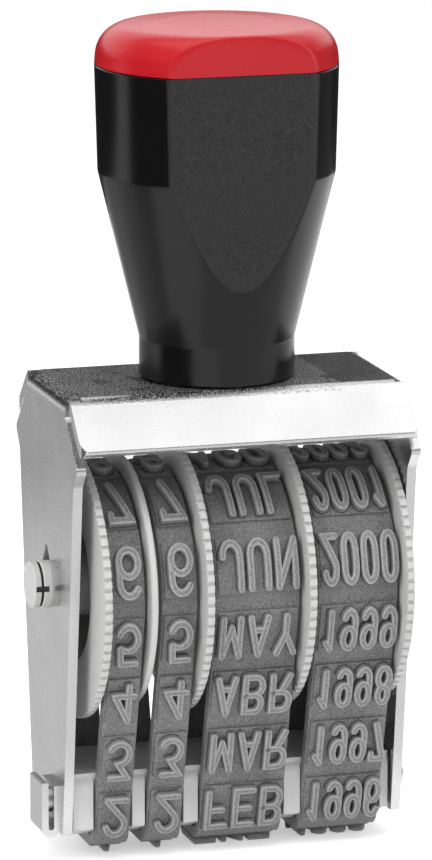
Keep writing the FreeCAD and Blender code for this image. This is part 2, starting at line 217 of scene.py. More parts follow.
def makeCamera(settings):
    yaw = math.radians(settings["yaw"])
    pitch = math.radians(settings["pitch"])
    level = math.cos(pitch)
    forward = Vector((math.sin(yaw) * level, math.cos(yaw) * level, -math.sin(pitch)))
    data = bpy.data.cameras.new("photoCamera")
    data.sensor_fit = "AUTO"
    data.sensor_width = settings["sensor"]
    data.lens = settings["focal"] * settings["sensor"] / settings["pictureHeight"]
    data.shift_x, data.shift_y = [step / settings["pictureHeight"] for step in settings["offset"]]
    obj = bpy.data.objects.new("photoCamera", data)
    bpy.context.scene.collection.objects.link(obj)
    obj.location = Vector(settings["aim"]) - forward * settings["distance"]
    obj.rotation_euler = forward.to_track_quat("-Z", "Y").to_euler()
    bpy.context.scene.camera = obj


makeCamera(camera)
print("camera placed")


# studio: pale floor, soft boxes, a white surround, and cards that only reflections show

lying = (0, 0, 0)
standing = (90, 0, 0)
sideways = (90, 0, 90)
studio = {
    "floorSize": 6.0,
    "floorColour": 0.88,
    "floorClouds": {"scale": 3.0, "detail": 2},
    "floorSpread": 0.01,
    "floorRoughness": 0.9,
    "floorGlow": 0.45,
    "surround": 0.45,
    "seenSurround": 1.0,
    "lamps": {
        "topBox": {"place": (0.0, -0.12, 0.62), "size": (0.6, 0.5), "power": 2.6, "shiny": False},
        "leftBox": {"place": (-0.6, -0.35, 0.35), "size": (0.5, 0.6), "power": 2.4, "shiny": False},
        "rightBox": {"place": (0.6, -0.45, 0.3), "size": (0.25, 0.6), "power": 1.1, "shiny": True},
    },
    "cards": {
        "darkCard": {"place": (0.03, 0.07, 0.073), "size": (0.3, 0.044), "turn": standing, "level": 0.015},
        "paleCard": {"place": (0.04, 0.1, 0.145), "size": (0.4, 0.09), "turn": standing, "level": 1.3},
        "topCard": {"place": (0.12, -0.09, 0.45), "size": (0.6, 0.6), "turn": lying, "level": 1.62},
        "nearCard": {"place": (-0.13, 0.07, 0.0008), "size": (0.22, 0.16), "turn": lying, "level": 0.7},
        "farCard": {"place": (-0.13, 0.27, 0.0008), "size": (0.22, 0.24), "turn": lying, "level": 0.42},
        "frontCard": {"place": (0.12, -0.2, 0.0008), "size": (0.34, 0.36), "turn": lying, "level": 1.0},
        "sideCard": {"place": (-0.12, -0.032, 0.065), "size": (0.126, 0.11), "turn": sideways, "level": 0.01},
        "rightCard": {"place": (0.13, 0.045, 0.075), "size": (0.13, 0.09), "turn": sideways, "level": 0.14},
    },
}


def makeFloor(settings):
    clearSelection()
    bpy.ops.mesh.primitive_plane_add(size=settings["floorSize"], location=(0, 0, 0))
    floor = startPiece("paleFloor")
    paint = newPaint("floorPaint")
    shade = paint.noise(**settings["floorClouds"]) * settings["floorSpread"] + settings["floorColour"]
    seen = paint.ray("Is Camera Ray").top(paint.ray("Is Glossy Ray")).top(paint.ray("Is Transmission Ray"))
    floor.data.materials.append(paint.finish(
        "Principled BSDF", Base_Color=paint.blend(shade, grey(0), grey(1)),
        Roughness=settings["floorRoughness"], Emission_Color=grey(1),
        Emission_Strength=seen * settings["floorGlow"]))


def makeSurround(settings):
    world = bpy.context.scene.world or bpy.data.worlds.new("surround")
    bpy.context.scene.world = world
    paint = Paint(world)
    seen = paint.ray("Is Camera Ray").top(paint.ray("Is Transmission Ray"))
    strength = seen.ramp(0.0, 1.0, settings["surround"], settings["seenSurround"])
    paint.finish("Background", Color=grey(1), Strength=strength)


def makeLamp(name, lamp, aim):
    data = bpy.data.lights.new(name, "AREA")
    data.shape = "RECTANGLE"
    data.size, data.size_y = lamp["size"]
    data.energy = lamp["power"]
    obj = bpy.data.objects.new(name, data)
    bpy.context.scene.collection.objects.link(obj)
    obj.location = lamp["place"]
    toward = Vector(aim) - Vector(lamp["place"])
    obj.rotation_euler = toward.to_track_quat("-Z", "Y").to_euler()
    obj.visible_glossy = lamp["shiny"]


def makeCard(name, card):
    clearSelection()
    turn = [math.radians(angle) for angle in card["turn"]]
    bpy.ops.mesh.primitive_plane_add(size=1, location=card["place"], rotation=turn)
    bpy.context.object.scale = (*card["size"], 1)
    obj = startPiece(name)
    obj.data.materials.append(newPaint(name).finish(
        "Principled BSDF", Base_Color=grey(0), Roughness=1.0, Emission_Color=grey(1),
        Emission_Strength=card["level"]))
    obj.visible_camera = False
    obj.visible_diffuse = False
    obj.visible_shadow = False


makeFloor(studio)
makeSurround(studio)
for lampName, lamp in studio["lamps"].items():
    makeLamp(lampName, lamp, camera["aim"])
for cardName, card in studio["cards"].items():
    makeCard(cardName, card)
bpy.context.scene.view_settings.view_transform = "Standard"
print("studio ready")


# plated sheet, with bright specks where the plating on the web is rubbed

steel = {
    "clouds": {"scale": 160, "detail": 4},
    "grain": {"scale": 5200, "detail": 2},
    "grainShare": 0.4,
    "tones": (0.53, 0.66),
    "roughness": 0.18,
    "cloudRoughness": 0.06,
    "grainRoughness": 0.08,
    "bump": {"strength": 0.2, "distance": 0.00004},
    "webHeight": 0.0492,            # metres, only the web is above it
    "specks": {"scale": 5600, "detail": 1},
    "speckRange": (0.54, 0.64),
    "patches": {"scale": 330, "detail": 3},
    "patchRange": (0.36, 0.5),
    "frontEdge": 0.0062,            # in front of this the web is rubbed all over
    "rightEdge": 0.011,             # and right of this it is clean
    "wornTone": 0.34,
    "wornRoughness": 0.3,
    "metalLost": 0.85,
}


def platedSteel(settings):
    paint = newPaint("platedSteel")
    across, depth, height = paint.axes()
    clouds = paint.noise(**settings["clouds"])
    grain = paint.noise(**settings["grain"]).contrast()
    specks = paint.noise(**settings["specks"]).ramp(*settings["speckRange"])
    inFront = (depth * -1 - settings["frontEdge"]).over(0.0)
    patchy = paint.noise(**settings["patches"]).ramp(*settings["patchRange"]).top(inFront)
    web = height.over(settings["webHeight"])
    worn = web * specks * patchy * across.under(settings["rightEdge"])
    share = settings["grainShare"]
    tone = paint.blend(clouds.contrast() * (1 - share) + grain * share, *greys(settings["tones"]))
    tone = paint.blend(worn, tone, grey(settings["wornTone"]))
    rough = clouds * settings["cloudRoughness"] + grain * settings["grainRoughness"]
    rough = rough + worn * settings["wornRoughness"] + settings["roughness"]
    return paint.finish("Principled BSDF", Base_Color=tone, Metallic=1 - worn * settings["metalLost"],
                        Roughness=rough, Normal=paint.bump(grain, **settings["bump"]))


# screw, washer, axle, rod and clips, and the threaded sleeve

fasteners = {
    "marks": {"scale": 3000, "detail": 3},
    "tones": greys((0.55, 0.68)),
    "roughness": 0.24,
    "spread": 0.1,
}
brass = {
    "marks": {"scale": 900, "detail": 2, "stretch": (1, 1, 8)},
    "tones": ((0.62, 0.42, 0.16, 1), (0.78, 0.58, 0.27, 1)),
    "roughness": 0.25,
    "spread": 0.15,
}


def turnedMetal(name, settings):
    paint = newPaint(name)
    marks = paint.noise(**settings["marks"])
    tone = paint.blend(marks, *settings["tones"])
    rough = marks * settings["spread"] + settings["roughness"]
    return paint.finish("Principled BSDF", Base_Color=tone, Metallic=1.0, Roughness=rough)


# black handle, glossy all round with two grained flats, and its red cap

blackPlastic = {
    "flatStart": 0.00865,           # metres, how far out the grained flats lie at z = 0
    "flatSlope": 0.01396,           # and how much further with each metre up
    "grain": {"scale": 4200, "detail": 2},
    "soft": {"scale": 260, "detail": 3},
    "grainShare": 0.8,
    "tones": (0.004, 0.026),
    "roughness": 0.2,
    "flatRoughness": 0.2,
    "softRoughness": 0.05,
    "shine": 0.3,
    "bump": {"strength": 0.7, "distance": 0.00006},
}
redPlastic = {
    "soft": {"scale": 180, "detail": 2},
    "grain": {"scale": 1800, "detail": 2},
    "tones": ((0.44, 0.006, 0.012, 1), (0.51, 0.010, 0.018, 1)),
    "roughness": 0.24,
    "softRoughness": 0.06,
    "shine": 0.3,
    "bump": {"strength": 0.08, "distance": 0.00006},
}


def handlePlastic(settings):
    paint = newPaint("handlePlastic")
    depth, height = paint.axes()[1:]
    flat = (depth.size() - (height * settings["flatSlope"] + settings["flatStart"])).over(0.0)
    grain = paint.noise(**settings["grain"]).contrast()
    soft = paint.noise(**settings["soft"])
    share = settings["grainShare"]
    tone = paint.blend(flat * (grain * share + (1 - share)), *greys(settings["tones"]))
    rough = flat * settings["flatRoughness"] + soft * settings["softRoughness"] + settings["roughness"]
    return paint.finish("Principled BSDF", Base_Color=tone, Roughness=rough,
                        Specular_IOR_Level=settings["shine"],
                        Normal=paint.bump(flat * grain, **settings["bump"]))


def capPlastic(settings):
    paint = newPaint("capPlastic")
    soft = paint.noise(**settings["soft"])
    grain = paint.noise(**settings["grain"])
    rough = soft * settings["softRoughness"] + settings["roughness"]
    return paint.finish("Principled BSDF", Base_Color=paint.blend(soft, *settings["tones"]), Roughness=rough,
                        Specular_IOR_Level=settings["shine"], Normal=paint.bump(grain, **settings["bump"]))


# white plastic of the wheels, the bridge and the axle's end pieces

ivory = {
    "soft": {"scale": 220, "detail": 3},
    "grain": {"scale": 2400, "detail": 2},
    "wheels": (0.57, 0.62),
    "bridge": (0.69, 0.74),
    "pins": (0.58, 0.66),
    "warmth": (0.004, 0.003),
    "roughness": 0.36,
    "pinRoughness": 0.32,
    "softRoughness": 0.08,
    "bump": {"strength": 0.15, "distance": 0.00005},
    # tone of the painted shade in the groove and notches of the axle's end pieces
    "paintedSlotShade": 0.03,
}
groove = {                          # mm, the cuts in the axle's end pieces, measured in from the tip, where shade is painted
    "tip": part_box("axle_end_left")[0].x / -mm,
    "head": 0.75,
    "width": 0.25,
    "notch": 0.6,
    "radius": 2.45,
    "rim": 0.04,
    "slack": 0.02,
}


def ivoryTone(paint, soft, levels):
    return paint.blend(soft, *[grey(level, warmth) for level, warmth in zip(levels, ivory["warmth"])])


def whitePlastic(name, levels):
    paint = newPaint(name)
    soft = paint.noise(**ivory["soft"])
    grain = paint.noise(**ivory["grain"])
    rough = soft * ivory["softRoughness"] + ivory["roughness"]
    return paint.finish("Principled BSDF", Base_Color=ivoryTone(paint, soft, levels), Roughness=rough,
                        Normal=paint.bump(grain, **ivory["bump"]))


# the axle's end pieces, with shade painted into their groove and notches
def pinPlastic(cut):
    paint = newPaint("pinPlastic")
    across, depth, height = paint.axes()
    soft = paint.noise(**ivory["soft"])
    fromTip = across.size() * (-1 / mm) + cut["tip"]
    pastHead = fromTip.over(cut["head"] - cut["slack"])
    inGroove = pastHead * fromTip.under(cut["head"] + cut["width"] + cut["slack"])
    fromGroove = (fromTip - cut["head"] - cut["width"] / 2).size()
    rise = (height * (1 / mm) - axleHeight).size()
    radius = (depth * depth * (1 / mm ** 2) + rise * rise).root()
    inNotch = fromGroove.under(cut["width"] / 2 + cut["notch"]) * rise.under(cut["notch"] / 2 + cut["slack"])
    inNotch = inNotch * radius.under(cut["radius"] - cut["rim"])
    shade = inGroove.top(inNotch)                           # painted shade: the narrow cuts are darkened to stand for the shadow inside them
    tone = paint.blend(shade, ivoryTone(paint, soft, ivory["pins"]), grey(ivory["paintedSlotShade"]))
    rough = soft * ivory["softRoughness"] + ivory["pinRoughness"]
    return paint.finish("Principled BSDF", Base_Color=tone, Roughness=rough)


# rubber of the bands, with a painted highlight along the rims of the type and painted shade at its foot

rubber = {
    "speckle": {"scale": 6400, "detail": 2},
    "clouds": {"scale": 240, "detail": 4},
    "speckleShare": 0.65,
    "bandTones": (0.05, 0.34),
    "typeTones": (0.08, 0.33),
    "rimHighlightTone": 0.46,
    "rimHighlightSpeckle": 0.5,
    "footShadeTone": 0.012,
    "roughness": 0.46,
    "cloudRoughness": 0.12,
    "bandBump": {"strength": 0.5, "distance": 0.00006},
    "typeBump": {"strength": 0.35, "distance": 0.00005},
}


def rubberBody(paint, tones):
    speckle = paint.noise(**rubber["speckle"]).contrast()
    clouds = paint.noise(**rubber["clouds"])
    share = rubber["speckleShare"]
    tone = paint.blend(clouds * (1 - share) + speckle * share, *greys(tones))
    rough = clouds * rubber["cloudRoughness"] + rubber["roughness"]
    return speckle, tone, rough


def bandRubber():
    paint = newPaint("bandRubber")
    speckle, tone, rough = rubberBody(paint, rubber["bandTones"])
    return paint.finish("Principled BSDF", Base_Color=tone, Roughness=rough,
                        Normal=paint.bump(speckle, **rubber["bandBump"]))


def typeRubber():
    paint = newPaint("typeRubber")
    speckle, tone, rough = rubberBody(paint, rubber["typeTones"])
    rim = paint.add("ShaderNodeAttribute", {"attribute_name": "rim"}, {}, "Fac")
    upper = rim.top(0.0)                                    # 1 along the rims, where a highlight is painted, -1 at the foot of a stroke, where shade is painted
    lower = (rim * -1).top(0.0)
    # painted shade: the foot of each stroke is darkened as if in contact shadow
    tone = paint.blend(lower, tone, grey(rubber["footShadeTone"]))
    share = rubber["rimHighlightSpeckle"]
    # painted highlight: the rims of each stroke are lightened as if catching the light
    tone = paint.blend(upper * upper * (speckle * share + (1 - share)), tone, grey(rubber["rimHighlightTone"]))
    return paint.finish("Principled BSDF", Base_Color=tone, Roughness=rough,
                        Normal=paint.bump(speckle, **rubber["typeBump"]))


finishes = {
    "plated_steel": platedSteel(steel),
    "fastener_steel": turnedMetal("fastenerSteel", fasteners),
    "insert_brass": turnedMetal("turnedBrass", brass),
    "handle_plastic": handlePlastic(blackPlastic),
    "cap_plastic": capPlastic(redPlastic),
    "wheel_plastic": whitePlastic("wheelPlastic", ivory["wheels"]),
    "bridge_plastic": whitePlastic("bridgePlastic", ivory["bridge"]),
    "band_rubber": bandRubber(),
}
typeFinish = typeRubber()
pinFinish = pinPlastic(groove)
for entry in frame["record"]["subparts"]:
    isPin = entry["node"] in ("axle_end_left", "axle_end_right")
    for slot in frame["nodes"][entry["node"]].material_slots:
        slot.material = pinFinish if isPin else finishes[entry["material_slot"]]
print("materials assigned")


# handle and cap: rings drawn up from a circle, with the front and back pressed flat

handle = {
    "sides": 256,
    "ringStep": 0.45,
    "gripTurn": 7.0,                # degrees from point to point round a bend
    "capTurn": 5.0,
    "smooth": 30,
    "foot": 49.8,
    "footBevel": 0.3,
    "neckRadius": 8.1,
    "neckTop": 54.05,
    "neckRound": 0.8,
    "shoulder": 71.4,
    "shoulderRadius": 12.3,
    "shoulderRound": 1.3,
    "seam": 82.5,
    "seamRadius": 12.6,
    "seamBevel": 0.1,
    "seamGap": 0.06,
    "capBevel": 0.12,
    "capTaper": 0.35,
    "capRound": 3.3,
    "crownRadius": 0.45,            # of the seam's radius
    "crownDrop": 0.05,
    "crownRound": 2.0,
    "top": 86.8,
    "topRadius": 0.6,
    "dome": 0.4,
    "flatDepth": 9.9,
    "flatLean": 0.8,
    "flatEdge": 0.16,
    "flatReach": 8,                 # times flatEdge, where the flat's soft edge runs out
}


def roundedProfile(corners, step):
    points = []
    for index, (radius, height, bend) in enumerate(corners):
        here = Vector((radius, height))
        if bend == 0:
            points.append(here)
            continue
        into = (Vector(corners[index - 1][:2]) - here).normalized()
        away = (Vector(corners[index + 1][:2]) - here).normalized()
        half = into.angle(away) / 2
        centre = here + (into + away).normalized() * (bend / math.sin(half))
        start = here + into * (bend / math.tan(half)) - centre
        turn = math.pi - 2 * half
        sign = 1 if into.cross(away) < 0 else -1
        count = max(2, round(math.degrees(turn) / step))
        for part in range(count + 1):
            angle = sign * turn * part / count
            points.append(centre + Vector((
                start.x * math.cos(angle) - start.y * math.sin(angle),
                start.x * math.sin(angle) + start.y * math.cos(angle))))
    return points


def splitRun(start, end, longest):
    parts = max(1, math.ceil((end - start).length / longest))
    return [start + (end - start) * (part / parts) for part in range(1, parts + 1)]


def filledIn(points, longest):
    full = [points[0]]
    for point in points[1:]:
        full += splitRun(full[-1], point, longest)
    return full


def turnRings(name, points, sides):
    clearSelection()
    first = points[0]
    bpy.ops.mesh.primitive_circle_add(
        vertices=sides, radius=first.x * mm, fill_type="NGON", location=(0, 0, first.y * mm))
    obj = startPiece(name)
    bpy.ops.object.mode_set(mode="EDIT")
    bpy.ops.mesh.select_all(action="SELECT")
    for before, after in zip(points, points[1:]):
        rise = (0, 0, (after.y - before.y) * mm)
        bpy.ops.mesh.extrude_region_move(TRANSFORM_OT_translate={"value": rise})
        share = after.x / before.x
        bpy.ops.transform.resize(value=(share, share, 1), center_override=(0, 0, after.y * mm))
    faceOutwards()
    return obj


def pressFlats(obj, settings):
    tilt = math.tan(math.radians(settings["flatLean"]))
    soft = settings["flatEdge"]
    for vertex in obj.data.vertices:
        depth = abs(vertex.co.y / mm)
        limit = settings["flatDepth"] + (vertex.co.z / mm - settings["seam"]) * tilt
        over = depth - limit
        pressed = limit + (over - math.sqrt(over * over + 4 * soft * soft)) / 2 + soft / 2
        if over > -settings["flatReach"] * soft:
            vertex.co.y = math.copysign(min(depth, pressed), vertex.co.y) * mm
    obj.data.update()


def makeGrip(settings):
    low, neck = settings["foot"], settings["neckRadius"]
    seam, wide = settings["seam"] - settings["seamGap"], settings["seamRadius"]
    foot, edge = settings["footBevel"], settings["seamBevel"]
    profile = roundedProfile([
        (neck - foot, low, 0),
        (neck, low + foot, 0),
        (neck, settings["neckTop"], settings["neckRound"]),
        (settings["shoulderRadius"], settings["shoulder"], settings["shoulderRound"]),
        (wide, seam - edge, 0),
        (wide - edge, seam, 0),
    ], settings["gripTurn"])
    obj = turnRings("handleGrip", filledIn(profile, settings["ringStep"]), settings["sides"])
    pressFlats(obj, settings)
    finishPiece(obj, settings["smooth"], "body", "handle_plastic", finishes["handle_plastic"], "handle")


def makeCap(settings):
    seam, wide, top = settings["seam"], settings["seamRadius"], settings["top"]
    edge = settings["capBevel"]
    profile = roundedProfile([
        (wide - edge, seam, 0),
        (wide, seam + edge, 0),
        (wide - settings["capTaper"], top - settings["dome"], settings["capRound"]),
        (wide * settings["crownRadius"], top - settings["crownDrop"], settings["crownRound"]),
        (settings["topRadius"], top, 0),
    ], settings["capTurn"])
    obj = turnRings("redCap", filledIn(profile, settings["ringStep"]), settings["sides"])
    pressFlats(obj, settings)
    finishPiece(obj, settings["smooth"], "body", "cap_plastic", finishes["cap_plastic"], "handle_cap")


makeGrip(handle)
makeCap(handle)
print("handle and cap made")


# rubber bands: a flat strip with plates and raised type, laid round its loop

loop = {
    "radius": 10.45,
    "lean": 15.0,
    "corner": 1.0,
    "base": 1.1,
    "plate": 0.35,
    "type": 0.8,
    "stations": 14,
    "plateGap": 1.67,
    "plateMargin": 0.2,
    "plateSink": 0.15,
    "plateRound": 0.12,
    "plateParts": 14,
    "edgeRound": 0.14,
    "roundParts": 2,
    "stripParts": 24,
    "smooth": 25,
}
loop["printGap"] = loop["base"] + loop["plate"] + loop["type"]


def loopSizes():
    lean = math.radians(loop["lean"])
    low = loop["printGap"]
    cornerY = (loop["radius"] + (low - axleHeight) * math.sin(lean)) / math.cos(lean)
    touch = Vector((loop["radius"] * math.cos(lean), axleHeight - loop["radius"] * math.sin(lean)))
    turn = math.pi / 2 - lean
    reach = loop["corner"] * math.tan(turn / 2)
    flat = cornerY - reach
    bend = loop["corner"] * turn
    run = (touch - Vector((cornerY, low))).length - reach
    whole = 2 * (flat + bend + run + loop["radius"] * (math.pi / 2 + lean))
    return {"lean": lean, "flat": flat, "bend": bend, "run": run, "touch": touch, "whole": whole}


sizes = loopSizes()
pitch = sizes["whole"] / loop["stations"]


def alongLoop(length):
    whole, lean = sizes["whole"], sizes["lean"]
    length = (length + whole / 2) % whole - whole / 2
    side = 1 if length < 0 else -1
    rest = abs(length)
    low = loop["printGap"]
    if rest <= sizes["flat"]:
        return Vector((0, side * rest, low)), Vector((0, 0, -1))
    rest -= sizes["flat"]
    if rest <= sizes["bend"]:
        angle = rest / loop["corner"]
        out = Vector((0, side * math.sin(angle), -math.cos(angle)))
        return Vector((0, side * sizes["flat"], low + loop["corner"])) + out * loop["corner"], out
    rest -= sizes["bend"]
    if rest <= sizes["run"]:
        out = Vector((0, side * math.cos(lean), -math.sin(lean)))
        touch = Vector((0, side * sizes["touch"].x, sizes["touch"].y))
        back = Vector((0, side * math.sin(lean), math.cos(lean))) * (sizes["run"] - rest)
        return touch - back, out
    angle = (rest - sizes["run"]) / loop["radius"] - lean
    out = Vector((0, side * math.cos(angle), math.sin(angle)))
    return Vector((0, 0, axleHeight)) + out * loop["radius"], out


def layRound(obj):
    for vertex in obj.data.vertices:
        place, out = alongLoop(vertex.co.y / mm)
        point = place + out * (vertex.co.z / mm)
        vertex.co = (vertex.co.x, point.y * mm, point.z * mm)
    obj.data.update()


def selectNothing(obj):
    pickUp(obj)
    for part in (obj.data.vertices, obj.data.edges, obj.data.polygons):
        part.foreach_set("select", [False] * len(part))


def bevelEdges(obj, size, test):
    selectNothing(obj)
    bpy.ops.object.mode_set(mode="EDIT")
    bpy.ops.mesh.select_mode(type="EDGE")
    bpy.ops.object.mode_set(mode="OBJECT")
    for edge in obj.data.edges:
        ends = [obj.data.vertices[index].co / mm for index in edge.vertices]
        edge.select = test(ends[0], ends[1])
    bpy.ops.object.mode_set(mode="EDIT")
    bpy.ops.mesh.bevel(offset=size * mm, segments=loop["roundParts"])
    bpy.ops.object.mode_set(mode="OBJECT")


def makeStrip(name, xLow, xHigh, yLow, yHigh, zLow, zHigh, parts):
    clearSelection()
    middle = ((xLow + xHigh) / 2 * mm, (yLow + yHigh) / 2 * mm, zLow * mm)
    bpy.ops.mesh.primitive_grid_add(x_subdivisions=1, y_subdivisions=parts, size=1, location=middle)
    bpy.context.object.scale = ((xHigh - xLow) * mm, (yHigh - yLow) * mm, 1)
    obj = startPiece(name)
    bpy.ops.object.mode_set(mode="EDIT")
    bpy.ops.mesh.select_all(action="SELECT")
    bpy.ops.mesh.extrude_region_move(TRANSFORM_OT_translate={"value": (0, 0, (zHigh - zLow) * mm)})
    faceOutwards()
    return obj


def makeBeltStrip(name, xLow, xHigh):
    half = sizes["whole"] / 2
    top = loop["base"]
    belt = makeStrip(name, xLow, xHigh, -half, half, 0, top, loop["stations"] * loop["stripParts"])
    selectNothing(belt)
    for face in belt.data.polygons:
        face.select = abs(abs(face.center.y / mm) - half) < near
    bpy.ops.object.mode_set(mode="EDIT")
    bpy.ops.mesh.select_mode(type="FACE")
    bpy.ops.mesh.delete(type="FACE")
    bpy.ops.object.mode_set(mode="OBJECT")

    def longTopEdge(a, b):
        atSides = all(min(abs(end.x - xLow), abs(end.x - xHigh)) < near for end in (a, b))
        return atSides and abs(a.y - b.y) > shortEdge and min(a.z, b.z) > top - near

    bevelEdges(belt, loop["edgeRound"], longTopEdge)
    return belt


def makePlates(name, low, high):
    base = loop["base"]
    top = base + loop["plate"]
    half = (pitch - loop["plateGap"]) / 2
    plate = makeStrip(name, low, high, -half, half, base - loop["plateSink"], top, loop["plateParts"])

    def topOutline(a, b):
        atEnd = all(abs(abs(end.y) - half) < near for end in (a, b))
        atSide = abs(a.x - b.x) < near and abs(a.y - b.y) > shortEdge
        return min(a.z, b.z) > top - near and (atEnd or atSide)

    bevelEdges(plate, loop["plateRound"], topOutline)
    copies = []
    for station in range(loop["stations"]):
        copy = plate.copy()
        copy.data = plate.data.copy()
        copy.data.transform(Matrix.Translation((0, station * pitch * mm, 0)))
        bpy.context.scene.collection.objects.link(copy)
        copies.append(copy)
    bpy.data.objects.remove(plate)
    return copies


def makeBelt(name, xLow, xHigh):
    belt = makeBeltStrip(name, xLow, xHigh)
    margin = loop["plateMargin"]
    plates = makePlates(name + "Plate", xLow + margin, xHigh - margin)
    layRound(belt)
    pickUp(belt)
    bpy.ops.object.mode_set(mode="EDIT")
    bpy.ops.mesh.select_all(action="SELECT")
    bpy.ops.mesh.remove_doubles(threshold=near * mm)        # the strip's two ends meet
    faceOutwards()
    for plate in plates:
        layRound(plate)
    pickUp(belt)
    for plate in plates:
        plate.select_set(True)
    bpy.ops.object.join()
    return belt


# type: round-ended strokes with sloping sides, read mirrored as on any stamp

typeCut = {
    "tall": 4.6,
    "topHalf": 0.28,
    "footHalf": 0.46,
    "edge": 0.06,
    "edgeLean": 0.6,                # share of the edge that lies outside the top's half width
    "sink": 0.08,
    "longest": 0.5,
    "shortest": 0.02,
    "stepDown": 0.008,              # each further stroke of a letter lies this much lower
    "sharpest": 125.0,
    "cornerLimit": 0.6,             # at a corner a stroke widens to at most 1 / cornerLimit
    "ends": ((1.0, 0.45), (0.6, 0.85)),     # reach past the end in half widths, and share of the width
    "arcStep": 18,
}


def bow(x, y, wide, tall, start, end):
    count = max(3, round(abs(end - start) / typeCut["arcStep"]))
    angles = [math.radians(start + (end - start) * part / count) for part in range(count + 1)]
    return [(x + wide * math.cos(angle), y + tall * math.sin(angle)) for angle in angles]


def ring(x, y, wide, tall):
    return bow(x, y, wide, tall, 90, 450)[:-1] + ["closed"]


ovalRing = bow(0.5, 0.7, 0.5, 0.3, 0, 180) + bow(0.5, 0.3, 0.5, 0.3, 180, 360) + ["closed"]
glyphs = {                          # strokes in a box from 0 to 1 both ways
    "0": [ovalRing],
    "1": [[(0.2, 0.8), (0.6, 1), (0.6, 0)]],
    "2": [bow(0.5, 0.71, 0.48, 0.29, 165, -25) + [(0.02, 0), (1, 0)]],
    "3": [[(0.04, 1), (0.94, 1), (0.42, 0.6)] + bow(0.46, 0.3, 0.52, 0.3, 80, -150)],
    "4": [[(0.72, 1), (0, 0.28), (1, 0.28)], [(0.72, 0), (0.72, 1)]],
    "5": [[(0.92, 1), (0.14, 1), (0.08, 0.56)] + bow(0.46, 0.32, 0.52, 0.32, 120, -150)],
    "6": [ring(0.5, 0.29, 0.5, 0.29), bow(0.5, 0.7, 0.5, 0.3, 30, 180) + [(0, 0.32)]],
    "7": [[(0, 0.85), (0, 1), (1, 1), (0.3, 0)]],
    "8": [ring(0.5, 0.77, 0.42, 0.23), ring(0.5, 0.27, 0.5, 0.27)],
    "9": [ring(0.5, 0.71, 0.5, 0.29), bow(0.5, 0.3, 0.5, 0.3, 210, 360) + [(1, 0.68)]],
    "A": [[(0, 0), (0.5, 1), (1, 0)], [(0.17, 0.3), (0.83, 0.3)]],
    "B": [[(0, 0), (0, 1)] + bow(0.55, 0.76, 0.4, 0.24, 90, -90) + [(0, 0.52)],
          [(0, 0)] + bow(0.55, 0.26, 0.45, 0.26, -90, 90)],
    "C": [bow(0.5, 0.7, 0.5, 0.3, 15, 180) + bow(0.5, 0.3, 0.5, 0.3, 180, 345)],
    "D": [[(0, 0), (0, 1)] + bow(0.35, 0.65, 0.65, 0.35, 90, 0) + bow(0.35, 0.35, 0.65, 0.35, 0, -90)
          + ["closed"]],
    "E": [[(1, 1), (0, 1), (0, 0), (1, 0)], [(0, 0.52), (0.82, 0.52)]],
    "F": [[(1, 1), (0, 1), (0, 0)], [(0, 0.52), (0.82, 0.52)]],
    "G": [bow(0.5, 0.7, 0.5, 0.3, 15, 180) + bow(0.5, 0.3, 0.5, 0.3, 180, 360) + [(1, 0.46), (0.55, 0.46)]],
    "I": [[(0.5, 0), (0.5, 1)]],
    "J": [[(1, 1), (1, 0.3)] + bow(0.5, 0.3, 0.5, 0.3, 0, -180)],
    "L": [[(0, 1), (0, 0), (1, 0)]],
    "M": [[(0, 0), (0, 1), (0.5, 0.2), (1, 1), (1, 0)]],
    "N": [[(0, 0), (0, 1), (1, 0), (1, 1)]],
    "O": [ovalRing],
    "P": [[(0, 0), (0, 1)] + bow(0.55, 0.73, 0.45, 0.27, 90, -90) + [(0, 0.46)]],
    "R": [[(0, 0), (0, 1)] + bow(0.55, 0.74, 0.45, 0.26, 90, -90) + [(0, 0.48)], [(0.5, 0.48), (1, 0)]],
    "S": [bow(0.5, 0.75, 0.46, 0.25, 20, 270) + bow(0.5, 0.25, 0.5, 0.25, 90, -160)],
    "T": [[(0, 1), (1, 1)], [(0.5, 1), (0.5, 0)]],
    "U": [[(0, 1), (0, 0.3)] + bow(0.5, 0.3, 0.5, 0.3, 180, 360) + [(1, 0.3), (1, 1)]],
    "V": [[(0, 1), (0.5, 0), (1, 1)]],
    "Y": [[(0, 1), (0.5, 0.46), (1, 1)], [(0.5, 0.46), (0.5, 0)]],
}


def strokeSection(width, lower):
    low = loop["base"] + loop["plate"] - typeCut["sink"]
    high = loop["printGap"] - lower
    top, foot, edge = typeCut["topHalf"] * width, typeCut["footHalf"] * width, typeCut["edge"]
    outer, inner = top + edge * typeCut["edgeLean"], top - edge * (1 - typeCut["edgeLean"])
    # the third number marks the rims (1), where a highlight is painted, and the foot (-1), where shade is
    # painted
    return [(-foot, low, -1), (-outer, high - edge, 1), (-inner, high, 1), (0, high, 0),
            (inner, high, 1), (outer, high - edge, 1), (foot, low, -1)]


def cleanPath(points):
    path = [Vector(points[0])]
    for point in points[1:]:
        if (Vector(point) - path[-1]).length >= typeCut["shortest"]:
            path += splitRun(path[-1], Vector(point), typeCut["longest"])
    return path


def strokeRings(path, closed):
    rings = []
    count = len(path)
    for index, here in enumerate(path):
        before = path[index - 1] if closed or index > 0 else None
        after = path[(index + 1) % count] if closed or index < count - 1 else None
        into = (here - before).normalized() if before is not None else (after - here).normalized()
        away = (after - here).normalized() if after is not None else into
        across = Vector((-into.y, into.x))
        side = (across + Vector((-away.y, away.x))).normalized()
        stretch = 1 / max(typeCut["cornerLimit"], side.dot(across))
        if before is None:
            for reach, width in typeCut["ends"]:
                rings.append((here - away * typeCut["topHalf"] * reach, side, width))
        rings.append((here, side * stretch, 1.0))
        if after is None:
            for reach, width in reversed(typeCut["ends"]):
                rings.append((here + into * typeCut["topHalf"] * reach, side, width))
    return rings


